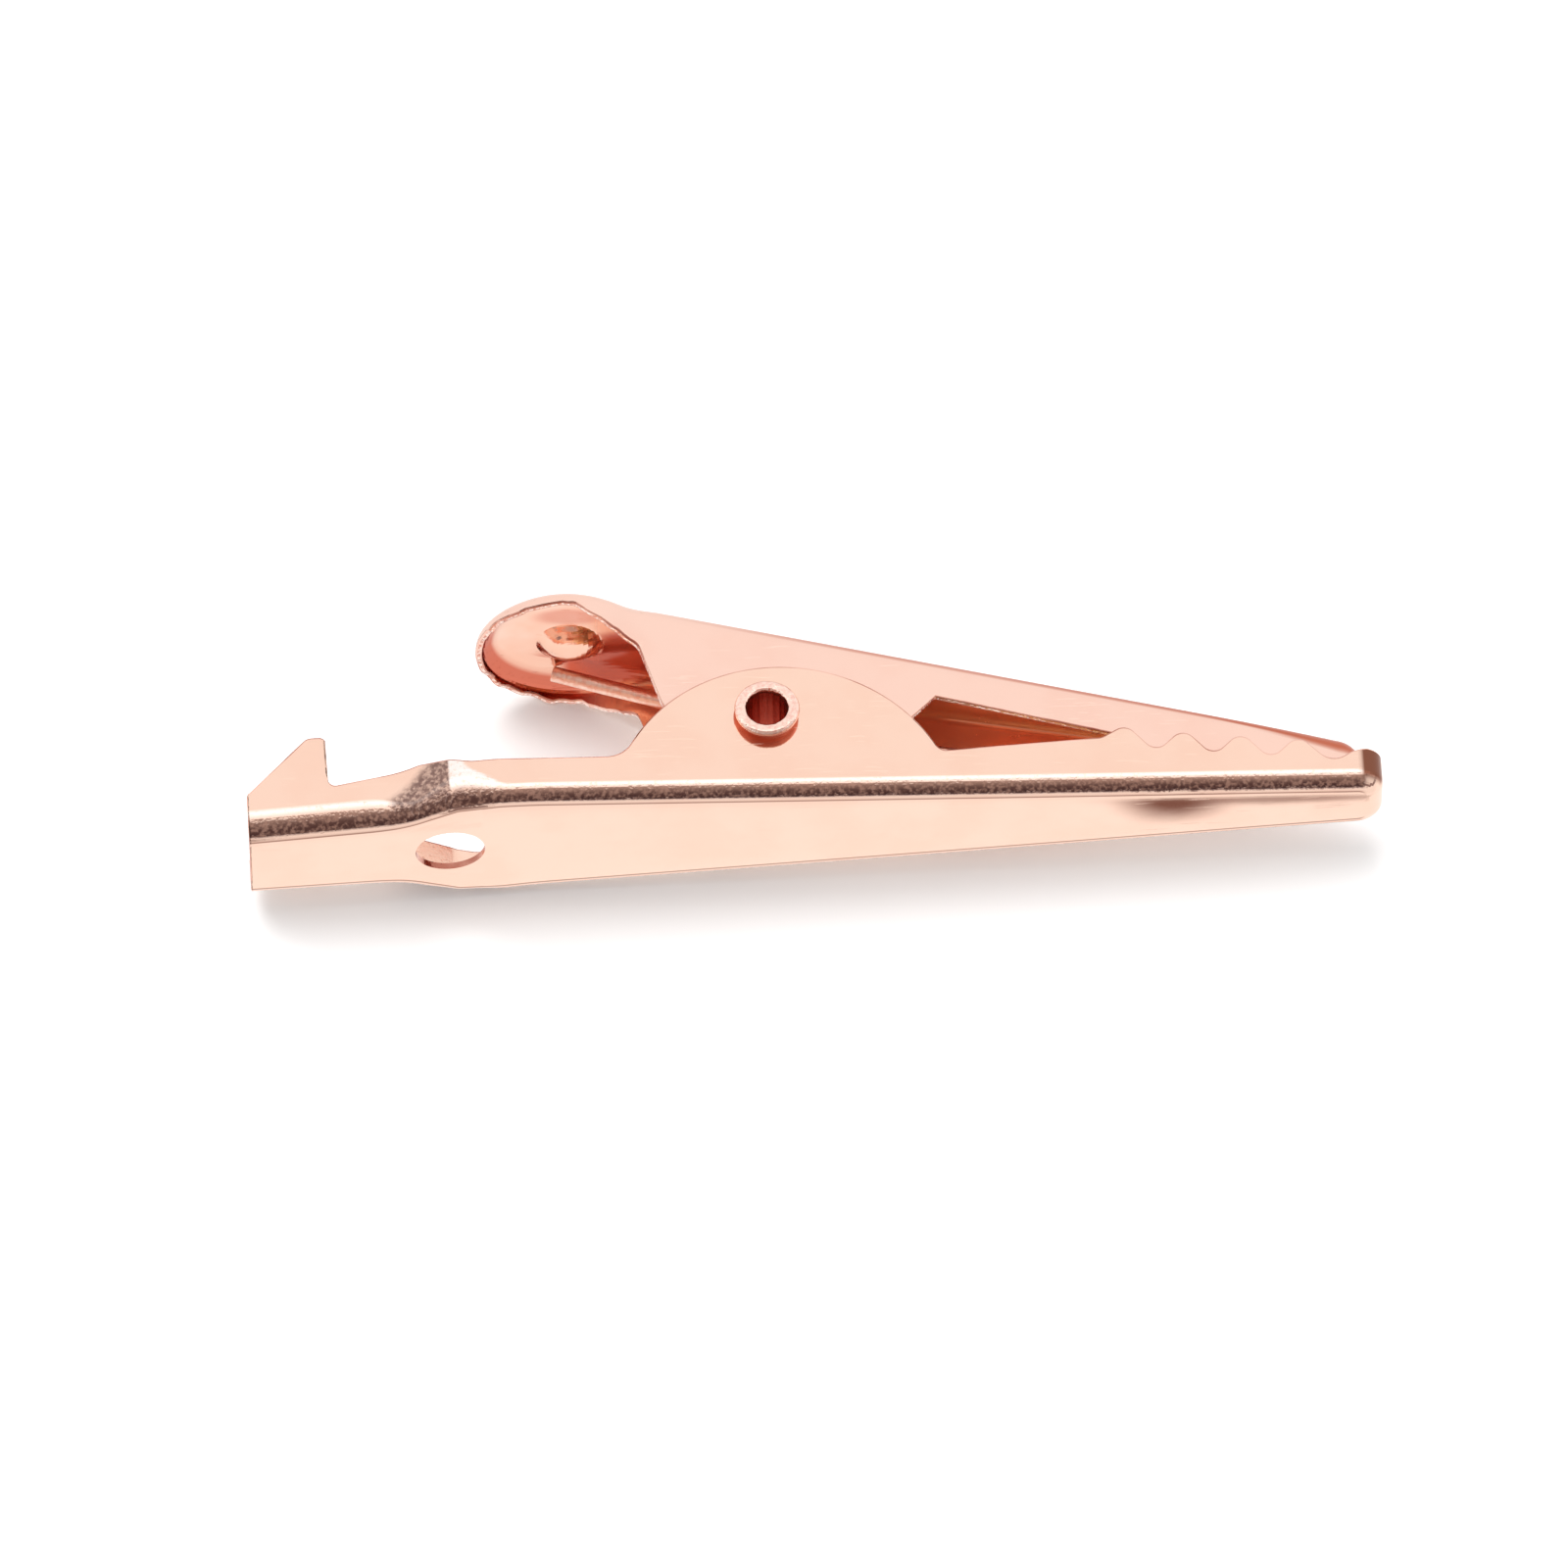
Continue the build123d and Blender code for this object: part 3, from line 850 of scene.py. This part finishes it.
# %% Rivet
def turned(name, loops, segments):
    """A turned ring: a circle is extruded from one (radius, z) loop to the next, and the last
    loop is bridged to the first."""
    bpy.ops.object.select_all(action="DESELECT")
    radius, z = loops[0]
    bpy.ops.mesh.primitive_circle_add(vertices=segments, radius=radius, location=(0, 0, z))
    bpy.ops.object.transform_apply()
    piece = bpy.context.object
    piece.name = name
    bpy.ops.object.mode_set(mode="EDIT")
    bpy.ops.mesh.select_mode(type="EDGE")
    bpy.ops.mesh.select_all(action="SELECT")
    for (before, low), (after, high) in zip(loops, loops[1:]):
        bpy.ops.mesh.extrude_edges_move(TRANSFORM_OT_translate={"value": (0, 0, high - low)})
        bpy.ops.transform.resize(
            value=(after / before, after / before, 1), center_override=(0, 0, high))
    bpy.ops.mesh.select_all(action="DESELECT")
    bpy.ops.mesh.select_non_manifold(extend=False)
    bpy.ops.mesh.bridge_edge_loops()
    bpy.ops.mesh.select_all(action="SELECT")
    bpy.ops.mesh.normals_make_consistent(inside=False)
    bpy.ops.object.mode_set(mode="OBJECT")
    return piece


RIVET_LOOPS = [
    (0.53, -2.27), (0.555, -2.36), (0.61, -2.405), (0.69, -2.395), (0.76, -2.41), (0.82, -2.385),
    (0.862, -2.33), (0.866, -2.27), (0.84, -2.21), (0.78, -2.16), (0.72, -2.12), (0.70, -2.06),
    (0.70, 0.0)]


def make_rivet(materials):
    """One end is drawn as loops, and the other is the same loops turned over."""
    loops = RIVET_LOOPS + [(radius, -z) for radius, z in reversed(RIVET_LOOPS[:-1])]
    rivet = turned("rolled_rivet", loops, 96)
    for vertex in rivet.data.vertices:
        away = hypot(vertex.co.x, vertex.co.y)
        if abs(vertex.co.z) < 2.18:
            continue
        angle = atan2(vertex.co.y, vertex.co.x)
        side = 5.0 if vertex.co.z > 0 else 17.0
        burr = noise.noise(Vector((cos(angle) * 3.2, sin(angle) * 3.2, side)))
        fine = noise.noise(Vector((cos(angle) * 9, sin(angle) * 9, side + away * 9)))
        rough = 0.022 * burr + 0.008 * fine
        vertex.co.z -= abs(rough) * (1 if vertex.co.z > 0 else -1)
        if vertex.co.z > 0:
            lean = ramp(vertex.co.z, 2.1, 2.3)
            vertex.co.z += lean * (0.02 - 0.07 * vertex.co.y)
            vertex.co.x -= 0.04 * lean
        if away < 0.60:
            vertex.co.xy *= 1 - abs(burr) * 0.05
    for material in materials:
        rivet.data.materials.append(material)
    # The bore, and each ring's side and underside, get the second finish: a dark red painted shade.
    for face in rivet.data.polygons:
        middle = face.center
        face.material_index = int(abs(middle.z) < (2.35 if middle.xy.length < 0.58 else 2.33))
    use_modifier(rivet, "SUBSURF", levels=1, render_levels=1)
    bpy.ops.object.shade_smooth()
    into_frame(rivet, "lower_jaw_body", "pivot_rivet")
    return rivet


# %% [markdown]
# The spring is hard wire wound round the rivet between the upper jaw's ears. One leg presses
# under the thumb cup and the other on the lower jaw's floor. When the clip opens, the coil winds
# up.

# %% Spring
WIRE = 0.42
COIL_RADIUS = 1.35
COIL_TURNS = 4
COIL_RISE = WIRE + 0.03
LEG_GAP = 0.05               # between a leg and the sheet that it presses on


def make_spring(material):
    """The wound coil is a ring of wire driven along a screw; both ends then run straight on."""
    low = Vector((-5.50, FLOOR_Y + SHEET + LEG_GAP + WIRE / 2))
    high = Vector((-5.55, LEVER_TOP - SHEET - LEG_GAP - WIRE / 2))
    low_heading = atan2(-low.y, -low.x) - asin(COIL_RADIUS / low.length)
    high_heading = atan2(high.y, high.x) + asin(COIL_RADIUS / high.length)
    wrap = 2 * pi * COIL_TURNS + high_heading - low_heading
    rise = COIL_RISE * wrap / (2 * pi)
    first = high_heading - pi / 2
    bpy.ops.object.select_all(action="DESELECT")
    bpy.ops.mesh.primitive_circle_add(
        vertices=20, radius=WIRE / 2, location=(COIL_RADIUS, 0, 0), rotation=(pi / 2, 0, 0))
    bpy.ops.object.transform_apply()
    spring = bpy.context.object
    spring.name = "wound_spring"
    use_modifier(spring, "SCREW", angle=-wrap, screw_offset=rise, steps=260, render_steps=260,
                 use_merge_vertices=False, use_smooth_shade=True)
    spring.data.transform(Matrix.Translation((0, 0, -rise / 2)) @ Matrix.Rotation(first, 4, "Z"))
    slope = COIL_RISE / (2 * pi * COIL_RADIUS)
    for sign, angle, seat in ((-1, first, high), (1, first - wrap, low)):
        end = Vector((cos(angle), sin(angle))) * COIL_RADIUS
        run = seat - end
        step = Vector((run.x, run.y, sign * slope * run.length))
        extrude_end(spring, sign, step)
    spring.data.materials.append(material)
    bpy.ops.object.shade_smooth_by_angle(angle=radians(40))
    spring.data.transform(TO_FRAME)
    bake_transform(spring)
    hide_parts("torsion_spring")
    print(spring.name, len(spring.data.polygons), "faces")
    return spring


def extrude_end(wire, sign, step):
    """Draws the open end of the wire on the +z or -z side straight out by step, and caps it
    with a slightly rounded cut face."""
    bpy.context.view_layer.objects.active = wire
    bpy.ops.object.mode_set(mode="EDIT")
    bpy.ops.mesh.select_mode(type="EDGE")
    mesh = bmesh.from_edit_mesh(wire.data)
    for face in mesh.faces:
        face.select_set(False)
    for edge in mesh.edges:
        open_end = edge.is_boundary and (edge.verts[0].co.z * sign > 0)
        edge.select_set(open_end)
    mesh.select_flush_mode()
    bmesh.update_edit_mesh(wire.data)
    for _ in range(4):
        bpy.ops.mesh.extrude_edges_move(TRANSFORM_OT_translate={"value": step / 4})
    bpy.ops.mesh.edge_face_add()
    bpy.ops.mesh.inset(thickness=0.03, depth=0.02)
    bpy.ops.mesh.select_all(action="SELECT")
    bpy.ops.mesh.normals_make_consistent(inside=False)
    bpy.ops.object.mode_set(mode="OBJECT")


# %% [markdown]
# The finish is one bright copper plating over all four pieces, but it looks different by place,
# and those differences are painted on here rather than found by light alone.
# The flat outside is smooth as a mirror, with a few hairline scratches. The sheet's grain opens
# up where it is stretched round a fold, which gives an orange-peel speckle there. Light is painted
# on top: a painted dark reflection along the folds and across the neck, a painted highlight at
# the start of the lower jaw's fold, and painted dark reflections at its nose. The inside is
# duller, and its colour deep in the channel is a painted tint: a redder painted shade under the
# upper jaw's roof and round its cup, and a paler, yellower tint deep in the lower jaw. The rivet's
# bore and the collars under its rings carry a dark red painted shade. The sheared edges are torn
# and uneven. So one recipe makes every finish, from a few colours, the height of the grain, and
# the marks that the folded sheet carries.

# %% Plating
def plating(name, colour, deep, roughness, peel=0.0, grain=0.03, scratches=0.02, fold_only=True,
            deep_from=None, depth=None, painted_fold_reflection=None, painted_highlight=None, dark=None, mottled=False):
    """One copper finish. peel is the height in mm of the orange peel where the sheet is folded,
    grain the height of the fine grain everywhere."""
    material = bpy.data.materials.new(name)
    material.use_nodes = True
    t = Tree(material.node_tree)
    coords = t.add("ShaderNodeTexCoord").outputs["Object"]
    per_mm = t.add("ShaderNodeVectorMath", {0: coords}, operation="SCALE")
    per_mm.inputs["Scale"].default_value = 1 / MM
    spot = per_mm.outputs[0]
    peel_noise = t.add("ShaderNodeTexNoise", {
        "Vector": spot, "Scale": 9.0, "Detail": 2.0, "Roughness": 0.5}).outputs["Fac"]
    grain_noise = t.add("ShaderNodeTexNoise", {
        "Vector": spot, "Scale": 22.0, "Detail": 2.0, "Roughness": 0.5}).outputs["Fac"]
    broad = t.add("ShaderNodeTexNoise", {
        "Vector": spot, "Scale": 0.45, "Detail": 3.0, "Roughness": 0.55}).outputs["Fac"]
    stretched = t.add("ShaderNodeMapping", {
        "Vector": spot, "Scale": (0.35, 9.0, 9.0), "Rotation": (0, 0, radians(-4))}).outputs[0]
    lines = t.add("ShaderNodeTexNoise", {
        "Vector": stretched, "Scale": 1.6, "Detail": 1.0}).outputs["Fac"]
    scratch = t.math("MULTIPLY", t.fade(lines, 0.66, 0.72), t.fade(broad, 0.42, 0.60))
    if fold_only:
        where = t.add("ShaderNodeAttribute", attribute_name="stretched").outputs["Fac"]
    else:
        where = 1.0
    bumps = t.math("MULTIPLY", peel_noise, t.math("MULTIPLY", where, peel))
    bumps = t.math("ADD", bumps, t.math("MULTIPLY", grain_noise, grain * 0.01))
    bumps = t.math("SUBTRACT", bumps, t.math("MULTIPLY", scratch, scratches * 0.1))
    bumps = t.math("ADD", bumps, t.math("MULTIPLY", broad, 0.006))
    height = t.math("MULTIPLY", bumps, MM)
    normal = t.add("ShaderNodeBump", {"Height": height, "Strength": 1.0, "Distance": 1.0})
    tone = t.add("ShaderNodeMix", {
        "Factor": t.fade(peel_noise if mottled else broad, 0.38, 0.66), "A": (*colour, 1),
        "B": (*deep, 1)},
        data_type="RGBA").outputs[2]
    # Painted dark reflection: the fold colour darkens the sheet where the stretched mark lies, on
    # the folds and across the neck, broken up by the open grain.
    if painted_fold_reflection:
        open_grain = t.fade(peel_noise, 0.32, 0.60) if peel > 0.01 else 1.0
        share = t.math("ADD", t.math("MULTIPLY", open_grain, 0.45), 0.5)
        share = t.math("MULTIPLY", share, where)
        tone = t.add("ShaderNodeMix", {"Factor": share, "A": tone, "B": (*painted_fold_reflection, 1)},
                     data_type="RGBA").outputs[2]
    # Painted tint deep in the channel: it stands for the light that falls there, a redder painted
    # shade in the upper jaw and a paler, yellower tint in the lower one. There the metal is also
    # made half diffuse.
    painted_depth_tint_share = 0
    if depth and deep_from is None:
        painted_depth_tint_share = t.add("ShaderNodeAttribute", attribute_name="deep").outputs["Fac"]
    elif depth:
        x = t.add("ShaderNodeSeparateXYZ", {"Vector": spot}).outputs["X"]
        painted_depth_tint_share = t.fade(x, deep_from - 0.8, deep_from + 0.8)
    if depth:
        tone = t.add("ShaderNodeMix", {"Factor": painted_depth_tint_share, "A": tone, "B": (*depth, 1)},
                     data_type="RGBA").outputs[2]
    # The highlight mark whitens the sheet, speckled by the grain, as a painted highlight at the
    # start of the lower jaw's fold and on the neck's shoulder; the dark mark lays painted shade and
    # painted dark reflections.
    for title, shade in (("painted_highlight", painted_highlight), ("dark", dark)):
        if shade:
            share = t.add("ShaderNodeAttribute", attribute_name=title).outputs["Fac"]
            if title == "painted_highlight":
                share = t.math("MULTIPLY", share, t.fade(peel_noise, 0.15, 0.55))
            tone = t.add("ShaderNodeMix", {"Factor": share, "A": tone, "B": (*shade, 1)},
                         data_type="RGBA").outputs[2]
    rough = t.math("ADD", t.math("MULTIPLY", grain_noise, 0.05), roughness - 0.025)
    rough = t.math("ADD", rough, t.math("MULTIPLY", scratch, 0.15))
    metal = t.add("ShaderNodeBsdfPrincipled", {
        "Base Color": tone, "Metallic": 1.0, "Roughness": rough, "Normal": normal.outputs[0]})
    if depth:
        less = t.math("SUBTRACT", 1, t.math("MULTIPLY", painted_depth_tint_share, 0.5))
        t.tree.links.new(less, metal.inputs["Metallic"])
    t.add("ShaderNodeOutputMaterial", {"Surface": metal.outputs[0]})
    return material


# On the outsides, the dark fold colours are painted dark reflections, the near-white is a painted
# highlight, and the lower jaw's dark colour is a painted dark reflection at its nose and at the
# foot of its fold.
bright = plating("bright_copper_plate", (0.97, 0.675, 0.54), (0.96, 0.645, 0.51), 0.08,
                 peel=0.035, scratches=0.012, painted_fold_reflection=(0.125, 0.06, 0.056), painted_highlight=(1.0, 0.93, 0.88),
                 dark=(0.24, 0.09, 0.055))
bright_upper = plating("bright_copper_plate_upper", (0.97, 0.66, 0.55), (0.96, 0.63, 0.52), 0.08,
                       peel=0.003, painted_fold_reflection=(0.55, 0.12, 0.055))
# On the insides, the depth colours are painted tints deep in the channel, and the upper inside's
# dark red is painted shade.
lower_inside = plating("inside_of_lower_jaw", (0.97, 0.70, 0.57), (0.95, 0.60, 0.46), 0.18,
                       peel=0.002, fold_only=False, deep_from=-6.0, depth=(1.0, 0.76, 0.46))
upper_inside = plating("inside_of_upper_jaw", (0.96, 0.64, 0.51), (0.94, 0.54, 0.40), 0.12,
                       peel=0.002, fold_only=False, depth=(1.0, 0.39, 0.21),
                       dark=(0.60, 0.10, 0.05))
sheared = plating("sheared_edge", (1.0, 0.78, 0.68), (0.70, 0.30, 0.22), 0.15, peel=0.04,
                  fold_only=False, mottled=True)
burnished = plating("burnished_edge", (0.95, 0.58, 0.47), (0.48, 0.17, 0.12), 0.20, peel=0.01,
                    fold_only=False)
rivet_plate = plating("rivet_plate", (1.0, 0.74, 0.63), (0.95, 0.58, 0.49), 0.14, peel=0.018,
                      fold_only=False, mottled=True)
# The rivet's bore and the collars under its rings take this dark red as painted shade.
rivet_bore_painted_shade = plating("rivet_bore_painted_shade", (0.72, 0.24, 0.16), (0.60, 0.16, 0.10), 0.34, peel=0.004,
                     fold_only=False)
wire_plate = plating("wire_plate", (0.97, 0.66, 0.54), (0.92, 0.52, 0.40), 0.38, peel=0.015,
                     fold_only=False, mottled=True)


# %% [markdown]
# Now each piece is made with its finishes: the outside first, then the inside, the sheared edge
# and its burnished corner. The two jaws come before the rivet that they hang on.

# %% Make the clip
lower_jaw = make_lower_jaw([bright, lower_inside, sheared, burnished])
upper_jaw = make_upper_jaw([bright_upper, upper_inside, sheared, burnished])
rivet = make_rivet([rivet_plate, rivet_bore_painted_shade])
spring = make_spring(wire_plate)
